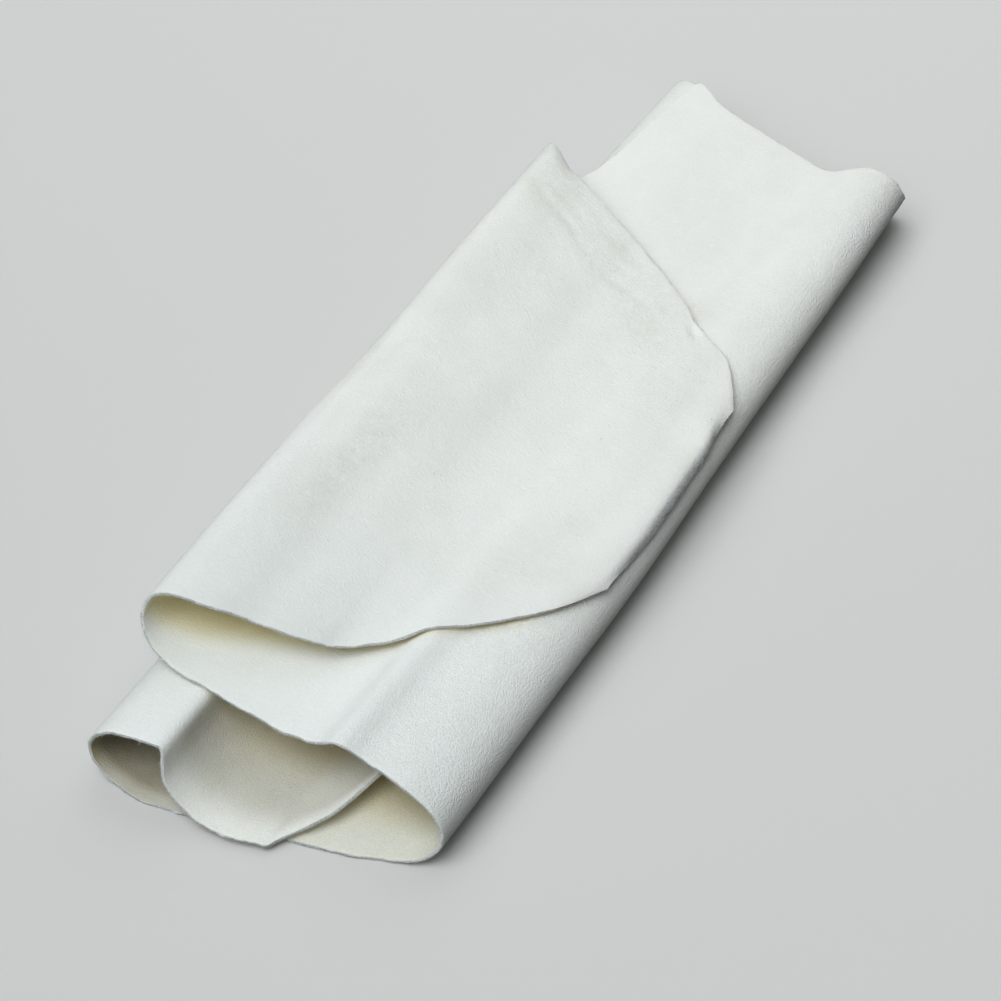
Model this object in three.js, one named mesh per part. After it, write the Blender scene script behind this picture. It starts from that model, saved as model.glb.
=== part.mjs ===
// A chamois leather: one whole skin of soft suede, folded along its length into a flat bundle.
// X runs across the bundle, Y along its folds from the near end to the far end, and Z is up.
// The origin is under the middle of the bundle, on the surface that it lies on.

import * as THREE from "three";

// The skin.
const skinThickness = 1.25;
const layerGap = 0.5;

// The bundle, over its outermost rulings.
const bundleWidth = 99;
const bundleLength = 336;
const bellyWidth = 2;

// How high each fold rises over the layer that it starts from, at mid thickness.
const lowerFoldHeight = 19.7;
const rightFoldHeight = 25.4;
const upperFoldHeight = 17.5;

// How finely the surface is drawn.
const columnsPerStrip = 2;
const rows = 6;

// Heights of the mid surface where a layer lies flat on what is under it.
const layerStep = skinThickness + layerGap;
const groundLevel = skinThickness / 2;
const flapLevel = groundLevel + layerStep;
const middleLevel = groundLevel + lowerFoldHeight + layerStep;

// Every line below is one ruling of the skin, which is straight from its near end to its far end.
// It holds across, along and up for the near end, then for the far end: shares of half the width,
// of half the length and of the layer's own rise. They follow the skin from the cut edge inside the
// bundle, round the three folds, to the cut edge on top.

// The inner flap stands up to a crease on its left, lies flat in front and lifts at its free edge.
const flapShares = [
  [0.471, -0.8, 0.369, 0.416, 0.865, 0.258],
  [0.358, -0.894, 0.174, 0.275, 0.871, 0.124],
  [0.183, -0.962, 0.013, 0.128, 0.878, 0.02],
  [0.147, -0.979, 0, 0.103, 0.88, 0],
  [0.105, -0.981, 0, 0.07, 0.881, 0],
  [-0.028, -0.992, 0, -0.069, 0.889, 0],
  [-0.21, -0.996, 0.057, -0.21, 0.901, 0.035],
  [-0.352, -0.993, 0.258, -0.331, 0.913, 0.202],
  [-0.448, -0.986, 0.564, -0.422, 0.922, 0.481],
  [-0.477, -0.972, 0.87, -0.471, 0.93, 0.714],
];

// The lower fold, on the left, turns the flap under into the bottom layer.
const lowerFoldShares = [
  [-0.493, -0.967, 0.989, -0.497, 0.935, 0.836],
  [-0.634, -0.971, 0.999, -0.594, 0.952, 0.846],
  [-0.786, -0.973, 0.933, -0.727, 0.98, 0.806],
  [-0.901, -0.977, 0.73, -0.84, 0.993, 0.638],
  [-0.937, -0.98, 0.471, -0.885, 0.996, 0.415],
  [-0.899, -0.983, 0.222, -0.853, 0.996, 0.192],
  [-0.808, -0.987, 0.065, -0.766, 0.995, 0.049],
  [-0.655, -0.99, 0, -0.634, 0.988, 0],
];

// The right fold takes the flat bottom layer up and back to the left, over a soft ridge.
const rightFoldShares = [
  [-0.311, -0.98, 0, -0.291, 0.967, 0],
  [0.537, -0.923, 0, 0.517, 0.922, 0],
  [0.76, -0.902, 0.007, 0.768, 0.908, 0.02],
  [0.905, -0.885, 0.09, 0.9, 0.893, 0.196],
  [0.982, -0.872, 0.29, 0.984, 0.874, 0.487],
  [0.972, -0.864, 0.503, 0.97, 0.859, 0.653],
  [0.933, -0.863, 0.617, 0.934, 0.862, 0.735],
  [0.873, -0.861, 0.712, 0.871, 0.861, 0.8],
  [0.745, -0.857, 0.818, 0.745, 0.862, 0.838],
  [0.47, -0.845, 0.862, 0.642, 0.839, 0.842],
  [0.323, -0.851, 0.999, 0.517, 0.832, 0.755],
  [0.204, -0.849, 0.842, 0.356, 0.837, 0.755],
  [-0.018, -0.849, 0.775, 0.093, 0.854, 0.81],
];

// The middle layer lies over the lower fold, and the upper fold turns it back to the right.
// The skin's far end is cut back along the fold, so these rulings get shorter.
const upperFoldShares = [
  [-0.251, -0.843, -0.067, -0.19, 0.877, -0.01],
  [-0.493, -0.84, 0.001, -0.412, 0.907, -0.016],
  [-0.695, -0.835, 0.047, -0.614, 0.945, -0.021],
  [-0.826, -0.828, 0.156, -0.675, 0.836, -0.01],
  [-0.893, -0.821, 0.281, -0.739, 0.633, 0.001],
  [-0.933, -0.813, 0.441, -0.816, 0.559, 0.03],
  [-0.952, -0.805, 0.613, -0.947, 0.553, 0.133],
  [-0.94, -0.794, 0.79, -1.03, 0.556, 0.384],
  [-0.897, -0.785, 0.94, -1.014, 0.555, 0.624],
  [-0.816, -0.78, 0.998, -0.941, 0.539, 0.761],
  [-0.695, -0.774, 0.984, -0.796, 0.508, 0.681],
  [-0.513, -0.762, 0.91, -0.606, 0.483, 0.481],
  [-0.311, -0.743, 0.716, -0.364, 0.447, 0.316],
  [-0.119, -0.712, 0.441, -0.152, 0.415, 0.201],
];

// The top layer's right half rides on the right fold's last rulings, taken in reverse. Each line holds
// along and the height over the ruling in layers for the near end, then for the far end: at 1 it rests.
const topShares = [
  [-0.689, 3.5, 0.37, 2.65],
  [-0.63, 2.1, 0.317, 2.95],
  [-0.589, 1.2, 0.283, 2.27],
  [-0.55, 2.5, 0.252, 1.75],
  [-0.467, 1.8, 0.226, 1],
  [-0.39, 1.15, 0.175, 1],
  [-0.334, 1, 0.135, 1],
];

// A ruling's two ends from one line of shares.
function ruling([acrossNear, alongNear, upNear, acrossFar, alongFar, upFar], level, rise) {
  const end = (across, along, up) =>
    new THREE.Vector3((across * bundleWidth) / 2, (along * bundleLength) / 2, level + up * rise);
  return { near: end(acrossNear, alongNear, upNear), far: end(acrossFar, alongFar, upFar) };
}

// The point of a ruling, drawn on if need be, at a distance along the bundle.
function pointAlong({ near, far }, y) {
  return near.clone().lerp(far, (y - near.y) / (far.y - near.y));
}

// A point so many layers above the surface that holds the ruling, square to it across the bundle.
function layersUp(before, here, after, along, layers) {
  const y = (along * bundleLength) / 2;
  const across = pointAlong(before, y).sub(pointAlong(after, y)).normalize();
  const square = new THREE.Vector3(-across.z, 0, across.x);
  return pointAlong(here, y).addScaledVector(square, layers * layerStep);
}

// The rulings of the whole skin, from its inner cut edge to its outer one.
function skinRulings() {
  const flap = flapShares.map((line) => ruling(line, flapLevel, lowerFoldHeight - layerStep));
  const lowerFold = lowerFoldShares.map((line) => ruling(line, groundLevel, lowerFoldHeight));
  const rightFold = rightFoldShares.map((line) => ruling(line, groundLevel, rightFoldHeight));
  const upperFold = upperFoldShares.map((line) => ruling(line, middleLevel, upperFoldHeight));
  const beneath = [...rightFold, upperFold[0]];
  const top = topShares.map(([alongNear, layersNear, alongFar, layersFar], i) => {
    const here = rightFold.length - 1 - i;
    const around = beneath.slice(here - 1, here + 2);
    const near = layersUp(...around, alongNear, layersNear);
    const far = layersUp(...around, alongFar, layersFar);
    return { near, far };
  });
  return [...flap, ...lowerFold, ...rightFold, ...upperFold, ...top];
}

// The bundle is a little wider at mid length than at its ends.
function bellied(point) {
  const toEnd = (2 * point.y) / bundleLength;
  const swell = 1 - Math.min(toEnd * toEnd, 1);
  point.x += ((point.x / bundleWidth) * bellyWidth) * swell;
  return point;
}

// The mid surface: a grid of points, with a list for every ruling of the curves through all ends.
function midSurface() {
  const rulings = skinRulings();
  const edge = (end) =>
    new THREE.CatmullRomCurve3(rulings.map((line) => line[end]), false, "centripetal");
  const [nearEdge, farEdge] = [edge("near"), edge("far")];
  const columns = (rulings.length - 1) * columnsPerStrip;
  return Array.from({ length: columns + 1 }, (_, column) => {
    const near = nearEdge.getPoint(column / columns);
    const far = farEdge.getPoint(column / columns);
    return Array.from({ length: rows }, (_, row) => bellied(near.clone().lerp(far, row / (rows - 1))));
  });
}

// The direction square to the mid surface at one point of its grid.
function squareTo(grid, column, row) {
  const at = (list, i) => list[Math.min(Math.max(i, 0), list.length - 1)];
  const girth = at(at(grid, column + 1), row).clone().sub(at(at(grid, column - 1), row));
  const length = at(grid[column], row + 1).clone().sub(at(grid[column], row - 1));
  return girth.cross(length).normalize();
}

// Both faces of the skin, half a thickness to each side of the mid surface, joined by the cut edge.
// What would reach below the ground is pressed flat on it.
function skinGeometry() {
  const grid = midSurface();
  const lastColumn = grid.length - 1;
  const lastRow = rows - 1;
  const positions = [];
  for (const side of [1, -1]) {
    grid.forEach((line, column) =>
      line.forEach((point, row) => {
        const offset = (side * skinThickness) / 2;
        const moved = point.clone().addScaledVector(squareTo(grid, column, row), offset);
        positions.push(moved.x, moved.y, Math.max(moved.z, 0));
      }),
    );
  }
  const front = (column, row) => column * rows + row;
  const back = (column, row) => front(column, row) + grid.length * rows;
  const faces = [];
  const quad = (a, b, c, d) => faces.push(a, b, c, a, c, d);
  for (let column = 0; column < lastColumn; column++) {
    const next = column + 1;
    for (let row = 0; row < lastRow; row++) {
      const above = row + 1;
      quad(front(column, row), front(next, row), front(next, above), front(column, above));
      quad(back(column, above), back(next, above), back(next, row), back(column, row));
    }
    quad(back(column, 0), back(next, 0), front(next, 0), front(column, 0));
    quad(front(column, lastRow), front(next, lastRow), back(next, lastRow), back(column, lastRow));
  }
  for (let row = 0; row < lastRow; row++) {
    const above = row + 1;
    const last = lastColumn;
    quad(front(0, row), front(0, above), back(0, above), back(0, row));
    quad(back(last, row), back(last, above), front(last, above), front(last, row));
  }
  const geometry = new THREE.BufferGeometry();
  geometry.setAttribute("position", new THREE.Float32BufferAttribute(positions, 3));
  geometry.setIndex(faces);
  return geometry;
}

// The origin goes under the middle of the bundle.
function centred(geometry) {
  geometry.computeBoundingBox();
  const middle = geometry.boundingBox.getCenter(new THREE.Vector3());
  return geometry.translate(-middle.x, -middle.y, 0);
}

// Cream suede, with no shine.
const suede = new THREE.MeshStandardMaterial({ color: 0xe8e9e0, roughness: 0.95, metalness: 0 });

const hide = new THREE.Mesh(centred(skinGeometry()), suede);
hide.name = "chamois_hide";

const bundle = new THREE.Group();
bundle.add(hide);

export default bundle;
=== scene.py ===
import bpy
import numpy as np
from mathutils import Matrix, Vector


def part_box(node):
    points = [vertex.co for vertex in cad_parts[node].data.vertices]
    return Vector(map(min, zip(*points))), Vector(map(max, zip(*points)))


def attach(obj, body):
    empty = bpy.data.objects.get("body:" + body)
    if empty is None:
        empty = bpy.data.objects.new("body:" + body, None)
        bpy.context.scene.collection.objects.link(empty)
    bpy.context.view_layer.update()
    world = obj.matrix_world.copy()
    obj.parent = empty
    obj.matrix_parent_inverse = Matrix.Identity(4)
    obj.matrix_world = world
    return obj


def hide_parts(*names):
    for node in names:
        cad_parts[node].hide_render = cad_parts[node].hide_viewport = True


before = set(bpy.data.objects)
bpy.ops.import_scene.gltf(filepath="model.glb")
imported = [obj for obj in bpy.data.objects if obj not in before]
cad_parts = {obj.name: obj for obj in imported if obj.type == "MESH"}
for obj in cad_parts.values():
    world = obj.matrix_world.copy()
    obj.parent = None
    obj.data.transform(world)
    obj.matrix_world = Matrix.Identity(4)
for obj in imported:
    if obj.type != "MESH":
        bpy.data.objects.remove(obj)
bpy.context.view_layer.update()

# The skin: one whole chamois hide, oil-tanned and napped on both faces, about 1.25 mm thick.
# It is cut free on all four sides and folded by hand three times along its length, over itself.

mm = 0.001
thickness = 1.25
layer_step = thickness + 0.5
half_width, half_length, belly = 49.5, 168.0, 2.0
ground = thickness / 2
lower_rise, right_rise, upper_rise = 19.7, 25.4, 17.5

# Every line of these lists is one straight ruling of the skin, from its near end to its far end:
# across, along and up for the near end, then for the far end, in shares of half the width, half the
# length and a fold's rise.

flap = [
    [0.471, -0.8, 0.369, 0.416, 0.865, 0.258],
    [0.358, -0.894, 0.174, 0.275, 0.871, 0.124],
    [0.183, -0.962, 0.013, 0.128, 0.878, 0.02],
    [0.147, -0.979, 0, 0.103, 0.88, 0],
    [0.105, -0.981, 0, 0.07, 0.881, 0],
    [-0.028, -0.992, 0, -0.069, 0.889, 0],
    [-0.21, -0.996, 0.057, -0.21, 0.901, 0.035],
    [-0.352, -0.993, 0.258, -0.331, 0.913, 0.202],
    [-0.448, -0.986, 0.564, -0.422, 0.922, 0.481],
    [-0.477, -0.972, 0.87, -0.471, 0.93, 0.714],
]
lower_fold = [
    [-0.493, -0.967, 0.989, -0.497, 0.935, 0.836],
    [-0.634, -0.971, 0.999, -0.594, 0.952, 0.846],
    [-0.786, -0.973, 0.933, -0.727, 0.98, 0.806],
    [-0.901, -0.977, 0.73, -0.84, 0.993, 0.638],
    [-0.937, -0.98, 0.471, -0.885, 0.996, 0.415],
    [-0.899, -0.983, 0.222, -0.853, 0.996, 0.192],
    [-0.808, -0.987, 0.065, -0.766, 0.995, 0.049],
    [-0.655, -0.99, 0, -0.634, 0.988, 0],
]
right_fold = [
    [-0.311, -0.98, 0, -0.291, 0.967, 0],
    [0.537, -0.923, 0, 0.517, 0.922, 0],
    [0.76, -0.902, 0.007, 0.768, 0.908, 0.02],
    [0.905, -0.885, 0.09, 0.9, 0.893, 0.196],
    [0.982, -0.872, 0.29, 0.984, 0.874, 0.487],
    [0.972, -0.864, 0.503, 0.97, 0.859, 0.653],
    [0.933, -0.863, 0.617, 0.934, 0.862, 0.735],
    [0.873, -0.861, 0.712, 0.871, 0.861, 0.8],
    [0.745, -0.857, 0.818, 0.745, 0.862, 0.838],
    [0.47, -0.845, 0.862, 0.642, 0.839, 0.842],
    [0.323, -0.851, 0.999, 0.517, 0.832, 0.755],
    [0.204, -0.849, 0.842, 0.356, 0.837, 0.755],
    [-0.018, -0.849, 0.775, 0.093, 0.854, 0.81],
]
upper_fold = [
    [-0.251, -0.843, -0.067, -0.19, 0.877, -0.01],
    [-0.493, -0.84, 0.001, -0.412, 0.907, -0.016],
    [-0.695, -0.835, 0.047, -0.614, 0.945, -0.021],
    [-0.826, -0.828, 0.156, -0.675, 0.836, -0.01],
    [-0.893, -0.821, 0.281, -0.739, 0.633, 0.001],
    [-0.933, -0.813, 0.441, -0.816, 0.559, 0.03],
    [-0.952, -0.805, 0.613, -0.947, 0.553, 0.133],
    [-0.94, -0.794, 0.79, -1.03, 0.556, 0.384],
    [-0.897, -0.785, 0.94, -1.014, 0.555, 0.624],
    [-0.816, -0.78, 0.998, -0.941, 0.539, 0.761],
    [-0.695, -0.774, 0.984, -0.796, 0.508, 0.681],
    [-0.513, -0.762, 0.91, -0.606, 0.483, 0.481],
    [-0.311, -0.743, 0.716, -0.364, 0.447, 0.316],
    [-0.119, -0.712, 0.441, -0.152, 0.415, 0.201],
]
# The rulings that lie on the right fold: along and the layers above it for the near end, then for the
# far end.
top_over_fold = [
    [-0.689, 3.5, 0.37, 2.65],
    [-0.63, 2.1, 0.317, 2.95],
    [-0.589, 1.2, 0.283, 2.27],
    [-0.55, 2.5, 0.252, 1.75],
    [-0.467, 1.8, 0.226, 1],
    [-0.39, 1.15, 0.175, 1],
    [-0.334, 1, 0.135, 1],
]


def rulings(shares, level, rise):
    """Near and far ends of rulings: shares times the half width and the half length, and a level plus
    shares times a rise."""
    ends = np.array(shares, float).reshape(-1, 2, 3) * [half_width, half_length, rise] + [0, 0, level]
    return ends[:, 0], ends[:, 1]


def on_ruling(near, far, y):
    """The points of rulings, drawn on if need be, at given distances along the bundle."""
    share = (y - near[:, 1]) / (far[:, 1] - near[:, 1])
    return near + (far - near) * share[:, None]


def skin_edges():
    """The near and the far ends of all rulings, from the cut edge inside the bundle to the one on top.
    The top layer's right half lies on the right fold's last rulings, taken in reverse, and is raised
    square to them."""
    right = rulings(right_fold, ground, right_rise)
    upper = rulings(upper_fold, ground + lower_rise + layer_step, upper_rise)
    parts = [
        rulings(flap, ground + layer_step, lower_rise - layer_step),
        rulings(lower_fold, ground, lower_rise),
        right,
        upper,
    ]
    under_near, under_far = (np.vstack([r, u[:1]]) for r, u in zip(right, upper))
    here = len(right_fold) - 1 - np.arange(len(top_over_fold))
    top = np.array(top_over_fold)
    ends = []
    for along, layers in ((top[:, 0], top[:, 1]), (top[:, 2], top[:, 3])):
        y = along * half_length
        before = on_ruling(under_near[here - 1], under_far[here - 1], y)
        after = on_ruling(under_near[here + 1], under_far[here + 1], y)
        across = before - after
        square = np.stack([-across[:, 2], 0 * y, across[:, 0]], 1)
        square /= np.linalg.norm(across, axis=1)[:, None]
        under = on_ruling(under_near[here], under_far[here], y)
        ends.append(under + square * (layers * layer_step)[:, None])
    return np.vstack([p[0] for p in parts] + ends[:1]), np.vstack([p[1] for p in parts] + ends[1:])


def smooth_curve(points, at):
    """A centripetal Catmull-Rom curve through points, at positions counted in points: a cubic between each
    two, whose end slopes come from the square roots of the distances between neighbours."""
    i = np.clip(at.astype(int), 0, len(points) - 2)
    w = (at - i)[:, None]
    padded = np.vstack([2 * points[0] - points[1], points, 2 * points[-1] - points[-2]])
    p0, p1, p2, p3 = (padded[i + k] for k in range(4))
    pairs = (p0, p1), (p1, p2), (p2, p3)
    d0, d1, d2 = (np.sqrt(np.linalg.norm(b - a, axis=1))[:, None] for a, b in pairs)
    t1 = ((p1 - p0) / d0 - (p2 - p0) / (d0 + d1) + (p2 - p1) / d1) * d1
    t2 = ((p2 - p1) / d1 - (p3 - p1) / (d1 + d2) + (p3 - p2) / d2) * d1
    return p1 + t1 * w + (-3 * p1 + 3 * p2 - 2 * t1 - t2) * w**2 + (2 * p1 - 2 * p2 + t1 + t2) * w**3


def crowded(count, ends):
    """Numbers from 0 to 1 that lie closer together towards both ends, by the given share."""
    x = np.linspace(0, 1, count)
    return x - ends * np.sin(2 * np.pi * x) / (2 * np.pi)


def bell(x, centre, spread):
    """A bell of height 1 round a centre: e to the minus half the square of the distance in spreads."""
    return np.exp(-0.5 * ((x - centre) / spread) ** 2)


def between(x, start, end, soft):
    """1 between two ends and 0 outside them, over soft steps that are half sines."""
    up, down = (np.clip((x - e) / soft + 0.5, 0, 1) for e in (start, end))
    return (np.cos(np.pi * down) - np.cos(np.pi * up)) / 2


def wobble(x, step, seed):
    """An uneven line: random heights every step, joined by a curve through them that is smooth."""
    knots = np.arange(x.min() - 2 * step, x.max() + 3 * step, step)
    heights = np.random.default_rng(seed).standard_normal(len(knots))
    i = np.clip(((x - knots[0]) / step).astype(int), 1, len(knots) - 3)
    w = (x - knots[i]) / step
    a, b, c, d = (heights[i + k] for k in (-1, 0, 1, 2))
    return b + 0.5 * w * (c - a + w * (2 * a - 5 * b + 4 * c - d + w * (3 * (b - c) + d - a)))


# The mid surface on a grid. Three numbers give a place on it: s is the way round the skin from its
# inner edge in millimetres, p is the same counted in rulings, and t is the share of the way from the
# near to the far end. Beyond is an end that nothing on the skin reaches. The belly is how much wider
# the bundle is at mid length.
columns, rows, beyond = 248, 190, 999
near_edge, far_edge = skin_edges()
fine = np.linspace(0, len(near_edge) - 1, 6000)
fine_edges = smooth_curve(near_edge, fine), smooth_curve(far_edge, fine)
pace = sum(np.linalg.norm(np.diff(edge[:, [0, 2]], axis=0), axis=1) for edge in fine_edges) / 2
round_length = np.concatenate([[0], np.cumsum(pace)])
girth = crowded(columns, 0.45) * round_length[-1]
place = np.interp(girth, round_length, fine)
along = crowded(rows, 0.6)
s, p, t = girth[:, None], place[:, None], along[None, :]
near, far = smooth_curve(near_edge, place), smooth_curve(far_edge, place)
mid = near[:, None] + (far - near)[:, None] * t[..., None]
mid[..., 0] *= 1 + belly / (2 * half_width) * (1 - np.minimum((mid[..., 1] / half_length) ** 2, 1))


def square_to(grid):
    """Unit normals of a grid of points, from its differences both ways."""
    n = np.cross(np.gradient(grid, axis=0), np.gradient(grid, axis=1))
    return n / np.linalg.norm(n, axis=2, keepdims=True)


def rim_of(grid):
    """The points of a grid's four sides, in one closed loop."""
    return np.concatenate([grid[:-1, 0], grid[-1, :-1], grid[:0:-1, -1], grid[0, :0:-1]])


# The knife's cut wanders a little, so each border is moved in and out within a few millimetres of it.
# The far cut is the straightest, but for one small nick where the top layer's far edge turns and a
# shallow hollow on the crest of the right fold.
cut_reach = 2.5
span = np.linalg.norm(far - near, axis=1)
lengthways = (far - near) / span[:, None]
to_near, to_far = along * span[:, None], (1 - along) * span[:, None]
cut_near = 0.16 * wobble(girth, 4.5, 1) + 0.09 * wobble(girth, 1.6, 2) - 0.5 * bell(girth, 388.5, 3.5)
nick, hollow = 0.8 * bell(girth, 368.3, 1.1), 1.4 * bell(girth, 208, 11)
cut_far = 0.07 * wobble(girth, 4.5, 3) + 0.04 * wobble(girth, 1.6, 4) - nick - hollow
drift = cut_near[:, None] * np.exp(-to_near / cut_reach) + cut_far[:, None] * np.exp(-to_far / cut_reach)
mid += lengthways[:, None] * drift[..., None]
crossways = np.gradient(mid, axis=0)
crossways /= np.linalg.norm(crossways, axis=2, keepdims=True)
reach = along * span[-1]
cut_inner = 0.16 * wobble(reach, 4.5, 5) + 0.09 * wobble(reach, 1.6, 6)
cut_outer = 0.1 * wobble(reach, 4.5, 7) + 0.06 * wobble(reach, 1.6, 8)
drift = cut_inner * np.exp(-s / cut_reach) + cut_outer * np.exp(-(girth[-1] - s) / cut_reach)
mid += crossways * drift[..., None]

# Handling has left its marks. The right fold bulges where the top layer lies over it, and the upper
# fold swells and is pinched on its outside into two thin lobes. The top layer bridges the bend that it
# would take over the layer below, and its free edge stands off the right fold and is drawn in at both
# corners. The tip of the top layer curls down, and there is a shallow dimple beside the nick.
x, y = mid[..., 0], mid[..., 1]
right_side = 0.95 * bell(y, -42, 26) - 0.6 * bell(y, -160, 18) - 0.4 * bell(y, 140, 22)
right_side *= between(x, 30, beyond, 24)
left_side = 0.75 * bell(y, -95, 28) - 0.7 * bell(y, -12, 20)
left_side *= between(-x, 30, beyond, 20) * between(s, 268, beyond, 8)
corner = 1.1 * bell(to_far, 0, 10) + 0.8 * bell(to_far, 12, 6) + 1.4 * bell(to_near, 0, 9)
corner *= bell(s, 397, 6)
stand_off = np.sin(np.pi * t) ** 0.8 * between(s, 390, beyond, 12)
mid[..., 0] += right_side - left_side - corner + 0.9 * stand_off
bridge = 1.3 * bell(s, 352, 7) * (1 - 0.75 * t) * between(t, 0.05, beyond, 0.1)
bridge -= 0.35 * bell(s, 369, 4.5) * between(t, 0.1, beyond, 0.15)
curl = 2.2 * bell(s, 307, 4.5) * np.clip(1 - to_far / 6, 0, 1) ** 1.6
mid[..., 2] += bridge - curl + 1.9 * stand_off
lobes = 0.8 * bell(s, 292.8, 3) - 1.0 * bell(s, 298.7, 1.5) - 0.8 * bell(s, 305.3, 3)
pinch = between(t, 0.3, 0.54, 0.12) * lobes
dimple = -0.8 * bell(s, 370.8, 2) * bell(to_far, 3, 1.8)
mid += square_to(mid) * (pinch + dimple)[..., None]

# The top layer has set in its own shape: it dips beside the upper fold near the open end and again
# before its free edge, is fuller towards the tip, and lifts at both corners of its free edge. The free
# edge itself rolls down, and the right fold is squarer at its far end. All this is up or down at a
# slant, towards or away from a viewer over the near right, so the outlines that are seen from there
# keep their places.
slant = [0.347, -0.616, 0.707]
dip = 3 * bell(s, 325, 8) * between(t, -beyond, 0.32, 0.3)
dip = dip + 2 * bell(s, 378, 7) * between(t, -beyond, 0.4, 0.3)
fullness = 2.5 * bell(s, 333, 11) * between(t, 0.4, beyond, 0.4)
corner_lift = 0.4 + 2 * between(t, -beyond, 0.13, 0.2) + 3 * between(t, 0.72, beyond, 0.2)
lift = np.clip((s - 383) / 14, 0, 1) ** 1.6 * corner_lift
mid += (fullness + lift - dip)[..., None] * slant
rolled = 2.4
roll = np.clip((s - girth[-1] + rolled) / rolled, 0, 1) ** 1.5 * between(t, 0.08, 0.9, 0.2)
mid -= 2 * roll[..., None] * slant
squarer = between(p, 21.6, 27.5, 2) * between(t, 0.82, beyond, 0.16)
mid += 2.2 * squarer[..., None] * slant

# Fine wrinkles run beside the top layer's far edge.
wrinkles = wobble(to_far + 2.5 * wobble(s, 11, 41), 3.1, 42)
wrinkles *= between(to_far, 5, 26, 10) * between(s, 304, 358, 16)
mid[..., 2] += 0.14 * wrinkles * (1 + 0.6 * wobble(s, 7, 43))

# The nap thins towards the cut, so the skin does too. Both faces lie half a thickness from the mid
# surface and never under the floor. Then the skin is centred over the place of the solid that it stands
# for.
thinning, thin_reach = 0.2, 0.9
to_cut = np.minimum(np.minimum(to_near, to_far), np.minimum(s, girth[-1] - s))
thin = 1 - thinning * np.exp(-to_cut / thin_reach)
normal = square_to(mid)
faces = np.stack([mid + side * normal * (thin * thickness / 2)[..., None] for side in (1, -1)])
faces[..., 2] = np.maximum(faces[..., 2], 0)
low, high = faces.min(axis=(0, 1, 2)), faces.max(axis=(0, 1, 2))
solid_low, solid_high = (np.array(c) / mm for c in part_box("chamois_hide"))
shift = ((solid_low + solid_high) - (low + high)) / 2 * [1, 1, 0]
mid += shift
faces += shift


def quads(i):
    """The four-sided faces between the points of a grid, from the points' numbers."""
    return np.stack([i[:-1, :-1], i[1:, :-1], i[1:, 1:], i[:-1, 1:]], -1).reshape(-1, 4)


# The two faces are joined by a cut edge of three more rings, which bulges a little and is ragged.
index = np.arange(columns * rows).reshape(columns, rows)
upper, lower = quads(index), quads(index + index.size)[:, ::-1]
ring = rim_of(index)
rings = [ring]
out = rim_of(mid) - rim_of(np.pad(mid[1:-1, 1:-1], ((1, 1), (1, 1), (0, 0)), mode="edge"))
out /= np.linalg.norm(out, axis=1)[:, None]
points = [faces[0].reshape(-1, 3), faces[1].reshape(-1, 3)]
count = 2 * index.size
rng = np.random.default_rng(7)
for share in (0.8, 0.5, 0.2):
    cut_face = rim_of(faces[0]) * share + rim_of(faces[1]) * (1 - share)
    bulge = 0.2 * np.sin(np.pi * share) + 0.1 * rng.standard_normal(len(ring))
    points.append(cut_face + out * bulge[:, None])
    rings.append(np.arange(count, count + len(ring)))
    count += len(ring)
rings.append(ring + index.size)
sides = [np.stack([a, b, np.roll(b, -1), np.roll(a, -1)], 1) for a, b in zip(rings[:-1], rings[1:])]
verts = np.vstack(points) * mm
verts[:, 2] = np.maximum(verts[:, 2], 0)
polygons = np.vstack([upper, lower, *sides])

mesh = bpy.data.meshes.new("chamois")
mesh.from_pydata(verts.tolist(), [], polygons.tolist())
mesh.polygons.foreach_set("use_smooth", np.ones(len(polygons), bool))
mesh.set_sharp_from_angle(angle=np.radians(50))
skin = bpy.data.objects.new("chamois", mesh)
bpy.context.scene.collection.objects.link(skin)

# Where the skin is turned in, the warm light bounced about in its shade is painted on as yellow, the more
# the deeper it lies: inside all three folds, under the top layer from the line of the top's shadow on, and
# in a line in the slit at the near end. Painted shade darkens the flap, the slit and the insides of the
# lower fold and the right fold, and a band of painted shade in the grey of the cut runs along the free
# edge. The skin's inside face is the one that shows on top of the bundle.
covered_from, covered_to = 0.02 + 0.0021 * (284 - s), 0.55 + 0.003 * (s - 214)
under_top = between(t, covered_from, covered_to, 0.04) * between(p, 27.8, 38.3, 1)
slit = bell(t, 0.172 + 0.0043 * (216 - s), 0.01) * between(s, 203, 215, 8)
flap_side = between(p, -beyond, 9.6, 1)
# Painted warm bounce light, under the top layer, in the slit and on the flap, then inside the folds.
painted_bounce_outside = between(p, 38.3, 52, 1.5) + 0.85 * under_top + 0.6 * slit
painted_bounce_outside += flap_side * (0.1 + 0.85 * between(t, 0.09, beyond, 0.06))
painted_bounce_floor = between(p, 15, 24, 4) * (0.22 + 0.7 * between(t, 0.05, beyond, 0.06))
painted_bounce_inside = 0.9 * between(p, 24, 33, 2) + painted_bounce_floor + 0.95 * between(p, -beyond, 15, 2)
# Painted shade inside the lower fold and the right fold, then in the slit and on the flap.
painted_shade_inside = between(p, 6, 18.2, 2) * (0.6 + 0.4 * between(t, 0.01, beyond, 0.012))
painted_shade_inside += between(p, 18.2, 33, 1) * (0.1 + 0.4 * between(t, 0.05, beyond, 0.08))
painted_shade_outside = 0.25 * slit + 0.55 * between(p, 3, 9.4, 1.5) * between(t, 0.025, beyond, 0.04)
painted_shade_outside += 0.5 * between(p, -beyond, 3, 1.5) * between(t, 0.015, beyond, 0.03)
# A band of painted shade along the free edge, in the grey of the cut.
painted_edge_shade = between(s, girth[-1] - 2.1 * np.sin(np.pi * t) ** 0.7, beyond, 1.3) * between(t, 0.05, 0.95, 0.1)


def cloud(s_at, t_at, s_spread, t_spread):
    """A soft round spot of height 1 at a place round the bundle and a share of the way along it."""
    return bell(s, s_at, s_spread) * bell(t, t_at, t_spread)
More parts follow.
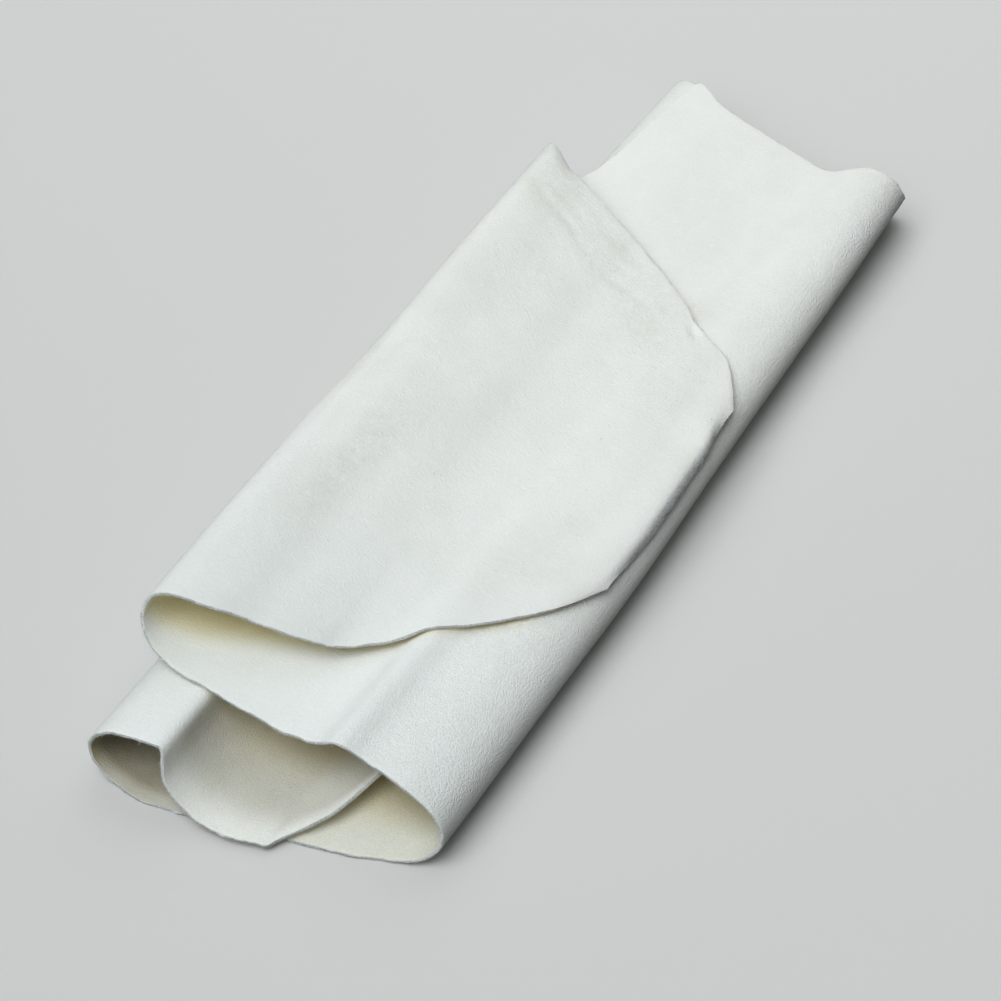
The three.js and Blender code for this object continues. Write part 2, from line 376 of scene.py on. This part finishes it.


# Beige clouds, partly stains and partly painted shade, lie on the top layer, mostly towards its far edge,
# and on the middle layer by the dimple.
stain_and_shade_inside = 0.9 * cloud(318.5, 0.33, 4.5, 0.06) + 0.7 * cloud(322.5, 0.43, 5, 0.05)
stain_and_shade_inside += 0.5 * cloud(316, 0.24, 4, 0.06) + 0.6 * cloud(317.7, 0.825, 4, 0.03)
stain_and_shade_inside += 0.5 * cloud(380, 0.31, 3, 0.05) + 0.45 * cloud(376, 0.17, 9, 0.05)
far_stain = 0.7 * between(to_far, -5, 25, 14) * between(s, 300, 366, 12)
stain_and_shade_inside += far_stain + 0.25 * cloud(352, 0.83, 9, 0.05)
# A stain with painted shadow on the middle layer beside the nick.
stain_and_shade_outside = 0.8 * cloud(221, 0.7, 5, 0.02) + 0.3 * cloud(218, 0.8, 3, 0.07)

# The nap is rolled into pebbles on the right fold, the flap and inside the folds, and elsewhere lies
# smooth. It is coarser towards the far end, and most of the far cut is painted paler as a painted
# highlight.
pebbled_outside = between(p, 17, 28.2 - 3 * t, 4) + 0.6 * flap_side
pebbled_inside = between(p, -beyond, 30, 3)
nap_outside = 0.65 + 0.35 * pebbled_outside
nap_inside = 0.65 + 0.25 * between(p, 38, beyond, 1) * between(t, 0.72, beyond, 0.25)
# Painted highlight: most of the far cut is painted paler than the grey of the cut.
at_far_cut = t > 0.9999
cut_tone = rim_of(1 - 0.55 * at_far_cut * (1 - between(p, 29, 37, 1)))
coarse = np.clip(verts[:, 1] / mm / half_length * 0.5 + 0.45, 0, 1)


def two_faced(inside, outside, at_cut):
    """One number for every point of the skin, from those of its two faces and the cut's three rings."""
    both = [np.clip(values + 0 * s * t, 0, 1).ravel() for values in (inside, outside)]
    return np.concatenate([*both, *[at_cut + np.zeros(len(ring))] * 3])


def set_attribute(mesh, name, values):
    """One number for every point of a mesh, that its material can read by name."""
    mesh.attributes.new(name, "FLOAT", "POINT").data.foreach_set("value", np.asarray(values, np.float32))


# The painted bounce light, the painted shade, the clouds of stain and painted shade, and the cut's grey
# with its painted shade and painted highlight go to the material by name.
set_attribute(mesh, "painted_bounce", two_faced(painted_bounce_inside, painted_bounce_outside, 0))
set_attribute(mesh, "painted_shade", two_faced(painted_shade_inside, painted_shade_outside, 0))
set_attribute(mesh, "stain_and_shade", two_faced(stain_and_shade_inside, stain_and_shade_outside, 0))
set_attribute(mesh, "pebbled", two_faced(pebbled_inside, pebbled_outside, 1))
set_attribute(mesh, "nap", two_faced(nap_inside, nap_outside, 0.6))
set_attribute(mesh, "cut_and_painted_light", two_faced(painted_edge_shade, 0, cut_tone))
set_attribute(mesh, "coarse", coarse)


class Shade:
    """One socket of a node tree. An operator on it adds a Math node, and make adds any other node."""

    tree = None

    def __init__(self, socket):
        self.socket = socket

    @classmethod
    def make(cls, kind, settings=None, values=None, out=0):
        """A node with its settings, and the values or links of its sockets by name or number."""
        node = cls.tree.nodes.new(kind)
        for name, value in (settings or {}).items():
            setattr(node, name, value)
        for name, value in (values or {}).items():
            if isinstance(value, Shade):
                cls.tree.links.new(value.socket, node.inputs[name])
            else:
                node.inputs[name].default_value = value
        return cls(node.outputs[out])

    def maths(operation, swap=False):
        """A method that adds one Math node to the tree."""
        def method(self, other=0.0):
            pair = (other, self) if swap else (self, other)
            return Shade.make("ShaderNodeMath", {"operation": operation}, dict(enumerate(pair)))
        return method

    __add__, __radd__ = maths("ADD"), maths("ADD", True)
    __sub__, __rsub__ = maths("SUBTRACT"), maths("SUBTRACT", True)
    __mul__, __rmul__ = maths("MULTIPLY"), maths("MULTIPLY", True)
    __abs__, at_least, at_most = maths("ABSOLUTE"), maths("MAXIMUM"), maths("MINIMUM")


def noise(where, size, detail=2.0, rough=0.5, twist=0.0):
    """Noise whose lumps are about so many millimetres across, as a value about 0."""
    scale = 1 / (size * mm)
    values = {"Vector": where, "Scale": scale, "Detail": detail, "Roughness": rough, "Distortion": twist}
    return Shade.make("ShaderNodeTexNoise", {}, values) - 0.5


def mixed(share, a, b):
    """Colour a where the share is 0, and b where it is 1."""
    return Shade.make("ShaderNodeMix", {"data_type": "RGBA"}, {0: share, 6: a, 7: b}, out=2)


def times(a, b):
    """The product of two colours."""
    settings = {"data_type": "RGBA", "blend_type": "MULTIPLY"}
    return Shade.make("ShaderNodeMix", settings, {0: 1.0, 6: a, 7: b}, out=2)


def smooth_step(value, low, high):
    """0 below the low value and 1 above the high one, with a smooth step between."""
    settings = {"interpolation_type": "SMOOTHSTEP"}
    values = {"Value": value, "From Min": low, "From Max": high}
    return Shade.make("ShaderNodeMapRange", settings, values)


# The suede's relief: pebbles, worms and felt of about a millimetre or less, soft unevenness, and a few
# pits. The felt lies longer one way, on a slant across the bundle.
felt_turn, felt_scale = np.radians(-29.4), (0.55, 1, 1)
relief = 0.45
suede = bpy.data.materials.new("suede")
suede.use_nodes = True
Shade.tree = suede.node_tree
where = Shade.make("ShaderNodeTexCoord", out=3)
turned = {"Vector": where, "Rotation": (0, 0, felt_turn), "Scale": felt_scale}
over_felt = Shade.make("ShaderNodeMapping", {}, turned)
painted_bounce_share, painted_shade_share, stain_and_shade_share, pebbled, nap, cut_and_painted_light_share, coarse_share = (
    Shade.make("ShaderNodeAttribute", {"attribute_name": name}, out=2)
    for name in ("painted_bounce", "painted_shade", "stain_and_shade", "pebbled", "nap", "cut_and_painted_light", "coarse")
)
pebbles = noise(where, 0.45, 1, 0.5) * (1 - coarse_share) * 1.1
pebbles = pebbles + noise(where, 0.65, 3, 0.6) * coarse_share * 1.7
worms = 0.12 - abs(noise(where, 1.1, 1, 0.5, 0.5))
flakes = noise(over_felt, 0.55, 1, 0.5)
tufts = smooth_step(noise(over_felt, 0.9, 2, 0.6), 0.07, 0.16)
pits = smooth_step(noise(where, 1.3, 0), 0.39, 0.43)
felt = flakes * 0.4 + tufts * 0.15
rolled_nap = pebbles * (0.4 + 0.7 * coarse_share) + worms * 0.05
height = felt + (rolled_nap - felt) * pebbled + pebbles * 0.3 + noise(where, 5, 2) * 0.5
height = height * nap - pits * 0.2

# Its colours: cream, painted yellow bounce light where the skin is turned in, painted shade, and beige
# clouds that are partly stains and partly painted shade, a little cooler towards the near end, with painted
# shade in the hollows between the pebbles and in the pits, and grey frayed fibre at the cut, beside a band
# of painted shade along the free edge and paler on most of the far cut as a painted highlight.
clouds = noise(where, 38, 2) * 0.9 + noise(where, 9, 3, 0.6) * 0.45
cream = mixed(smooth_step(clouds, -0.35, 0.3), (0.865, 0.863, 0.805, 1), (0.925, 0.918, 0.875, 1))
# Painted warm bounce light, in yellow.
painted_bounce = mixed(smooth_step(clouds, -0.3, 0.3), (0.87, 0.76, 0.43, 1), (0.91, 0.81, 0.53, 1))
# Painted shade, in dark brown.
painted_shade_brown = mixed(smooth_step(clouds, -0.3, 0.3), (0.33, 0.28, 0.18, 1), (0.46, 0.41, 0.32, 1))
colour = mixed(painted_bounce_share, cream, painted_bounce)
colour = mixed(painted_shade_share, colour, painted_shade_brown)
flecks = 0.7 + noise(where, 6, 3, 0.6) * 1.6 + noise(where, 1.3, 1) * 1.5
cloudy = (stain_and_shade_share * flecks).at_least(0.0)
colour = mixed(cloudy * 0.3, colour, (0.62, 0.6, 0.47, 1))
near_tint = mixed(smooth_step(coarse_share, 0.0, 0.4), (0.965, 0.985, 1, 1), (1, 1, 1, 1))
colour = times(colour, near_tint)
# Painted shade and light in the grain: darker in the hollows between the pebbles and in the pits, lighter
# on the pebbles and tufts.
painted_grain_shade = 1 + pebbles * nap * (0.14 + 0.16 * pebbled - 0.16 * coarse_share) + tufts * 0.03 - pits * 0.15
colour = times(colour, painted_grain_shade.at_most(1.04))
strands = smooth_step(noise(where, 0.5, 2, 0.7), -0.2, 0.15)
frayed = mixed(strands, (0.48, 0.5, 0.5, 1), (0.82, 0.83, 0.81, 1))
# The grey of the cut, which also paints the band of shade along the free edge.
colour = mixed(cut_and_painted_light_share, colour, frayed)
rough_nap = 0.93 + pebbles * 0.1
bsdf = suede.node_tree.nodes["Principled BSDF"]
bsdf.inputs["Sheen Weight"].default_value = 0.08
bsdf.inputs["Sheen Roughness"].default_value = 0.5
bsdf.inputs["Specular IOR Level"].default_value = 0.25
bump = Shade.make("ShaderNodeBump", {}, {"Height": height, "Strength": 1.0, "Distance": relief * mm})
for name, value in {"Base Color": colour, "Roughness": rough_nap, "Normal": bump}.items():
    suede.node_tree.links.new(value.socket, bsdf.inputs[name])
mesh.materials.append(suede)

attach(skin, "root")
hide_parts("chamois_hide")

# The fibres of the cut: chamois is all fibre, and the knife leaves short loose ends of it standing
# along the four sides. Each is a thin tapered hair, rooted in the cut face, that leans with its
# neighbours.


def bent_hairs(root, way, bend, length, radius):
    """Hairs as thin three-sided cones: a ring at the root, a narrower one half way, and a tip. Each follows
    the curve root plus length times (way times u plus bend times u squared), for u from 0 to 1."""
    along_no_hair = [0.31, 0.22, 0.92]
    side = np.cross(way, along_no_hair)
    side /= np.linalg.norm(side, axis=1)[:, None]
    other = np.cross(way, side)
    angles = np.radians([0, 120, 240])
    corners = [(side * np.cos(a) + other * np.sin(a)) * radius[:, None] for a in angles]
    half_way, tip = (root + (way * u + bend * u**2) * length[:, None] for u in (0.5, 1))
    points = [root + c for c in corners] + [half_way + 0.7 * c for c in corners] + [tip]
    triangles = [[2, 1, 0]]
    for a, b in ((0, 1), (1, 2), (2, 0)):
        triangles += [[a, b, b + 3], [a, b + 3, a + 3], [a + 3, b + 3, 6]]
    faces = np.array(triangles)[None] + len(points) * np.arange(len(root))[:, None, None]
    return np.stack(points, 1).reshape(-1, 3), faces.reshape(-1, 3)


hair_count, shortest_hair, longest_hair = 13000, 0.16, 1.2
rng = np.random.default_rng(21)
border = rim_of(mid)
strides = np.roll(border, -1, axis=0) - border
step = np.linalg.norm(strides, axis=1)
reached = np.concatenate([[0], np.cumsum(step)])
at = np.sort(rng.uniform(0, reached[-1], hair_count))
k = np.clip(np.searchsorted(reached, at) - 1, 0, len(ring) - 1)
w = ((at - reached[k]) / step[k])[:, None]


def at_roots(values):
    """Values round the rim as they are at the hairs' roots: shares of the two nearest ones on the rim."""
    return values[k] * (1 - w) + np.roll(values, -1, axis=0)[k] * w


outward, square, tangent = at_roots(out), at_roots(rim_of(normal)), (strides / step[:, None])[k]
height_share = rng.uniform(-0.5, 0.5, hair_count)
root = at_roots(border) + square * (height_share * thickness)[:, None] + outward * 0.05
lean = 0.5 * wobble(at, 1.4, 31) + 0.5 * rng.standard_normal(hair_count)
rise = 0.9 * height_share + 0.35 * wobble(at, 2.2, 32) + 0.3 * rng.standard_normal(hair_count)
way = outward + tangent * lean[:, None] + square * rise[:, None]
way /= np.linalg.norm(way, axis=1)[:, None]
bend = tangent * rng.normal(0, 0.35, (hair_count, 1))
bend += square * rng.normal(0, 0.35, (hair_count, 1))
length = np.minimum(shortest_hair + 0.2 * rng.gamma(1.5, 1.0, hair_count), longest_hair)
radius = rng.uniform(0.025, 0.045, hair_count)
hair_points, hair_faces = bent_hairs(root, way, bend, length, radius)
hair_points[:, 2] = np.maximum(hair_points[:, 2], 0)

fibre_mesh = bpy.data.meshes.new("edge_fibres")
fibre_mesh.from_pydata((hair_points * mm).tolist(), [], hair_faces.tolist())
fibre_mesh.polygons.foreach_set("use_smooth", np.ones(len(hair_faces), bool))
fibres = bpy.data.objects.new("edge_fibres", fibre_mesh)
bpy.context.scene.collection.objects.link(fibres)
fibre = bpy.data.materials.new("loose_fibre")
fibre.use_nodes = True
Shade.tree = fibre.node_tree
where = Shade.make("ShaderNodeTexCoord", out=3)
tint = mixed(smooth_step(noise(where, 3, 1), -0.2, 0.2), (0.62, 0.61, 0.56, 1), (0.82, 0.81, 0.75, 1))
bsdf = fibre.node_tree.nodes["Principled BSDF"]
bsdf.inputs["Roughness"].default_value = 0.9
fibre.node_tree.links.new(tint.socket, bsdf.inputs["Base Color"])
fibre_mesh.materials.append(fibre)
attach(fibres, "root")

# The studio: a plain pale floor in a pale surround, which both throw less light on the skin than their
# look gives. Three wide soft lights shine from above and in front, and a soft panel stands beyond the
# far end.

half_floor = 3
floor_seen, floor_thrown = (0.7, 0.69, 0.665, 1), (0.2, 0.2, 0.19, 1)
surround_seen, surround_thrown = 0.58, 0.04
corners = [(x * half_floor, y * half_floor, 0) for x, y in ((-1, -1), (1, -1), (1, 1), (-1, 1))]
floor_mesh = bpy.data.meshes.new("floor")
floor_mesh.from_pydata(corners, [], [(0, 1, 2, 3)])
floor = bpy.data.objects.new("floor", floor_mesh)
bpy.context.scene.collection.objects.link(floor)
pale = bpy.data.materials.new("pale_floor")
pale.use_nodes = True
Shade.tree = pale.node_tree
seen = Shade.make("ShaderNodeLightPath", out=0)
tone = mixed(seen, floor_thrown, floor_seen)
bsdf = pale.node_tree.nodes["Principled BSDF"]
bsdf.inputs["Roughness"].default_value = 0.9
pale.node_tree.links.new(tone.socket, bsdf.inputs["Base Color"])
floor_mesh.materials.append(pale)

world = bpy.data.worlds.new("studio")
world.use_nodes = True
Shade.tree = world.node_tree
seen = Shade.make("ShaderNodeLightPath", out=0)
background = world.node_tree.nodes["Background"]
background.inputs["Color"].default_value = (0.95, 1, 1.03, 1)
strength = surround_thrown + seen * (surround_seen - surround_thrown)
world.node_tree.links.new(strength.socket, background.inputs["Strength"])
bpy.context.scene.world = world

for name, toward, energy, angle in (
    ("over_light", (-0.2, 0.1, 1), 0.44, 75),
    ("main_light", (-0.15, -0.4, 1), 1.34, 45),
    ("front_light", (0, -0.8, 1), 0.95, 50),
):
    sun = bpy.data.lights.new(name, "SUN")
    sun.energy, sun.angle, sun.color = energy, np.radians(angle), (0.95, 1.0, 1.03)
    lamp = bpy.data.objects.new(name, sun)
    bpy.context.scene.collection.objects.link(lamp)
    lamp.rotation_euler = Vector(toward).to_track_quat("Z", "Y").to_euler()
panel = bpy.data.lights.new("far_panel", "AREA")
panel.energy, panel.size, panel.color = 0.78, 0.6, (0.97, 1.0, 1.0)
lamp = bpy.data.objects.new("far_panel", panel)
bpy.context.scene.collection.objects.link(lamp)
lamp.location = (-0.15, 0.4, 0.6)
lamp.rotation_euler = Vector(lamp.location).to_track_quat("Z", "Y").to_euler()

# The camera looks down at 45 degrees from the near right. Its focal length is in pixels of the
# photograph.
turn, pitch, distance = np.radians(29.4), np.radians(45.0), 0.75
aim = Vector((-0.0023, -0.0246, 0))
image_width, focal_length = 1001, 2587
back = Vector((np.sin(turn) * np.cos(pitch), -np.cos(turn) * np.cos(pitch), np.sin(pitch)))
right = Vector((np.cos(turn), np.sin(turn), 0))
camera = bpy.data.objects.new("camera", bpy.data.cameras.new("camera"))
bpy.context.scene.collection.objects.link(camera)
axes = Matrix((right, back.cross(right), back)).transposed()
camera.matrix_world = Matrix.Translation(aim + back * distance) @ axes.to_4x4()
camera.data.sensor_width = 36
camera.data.lens = camera.data.sensor_width * focal_length / image_width
bpy.context.scene.camera = camera
bpy.context.scene.view_settings.view_transform = "Standard"
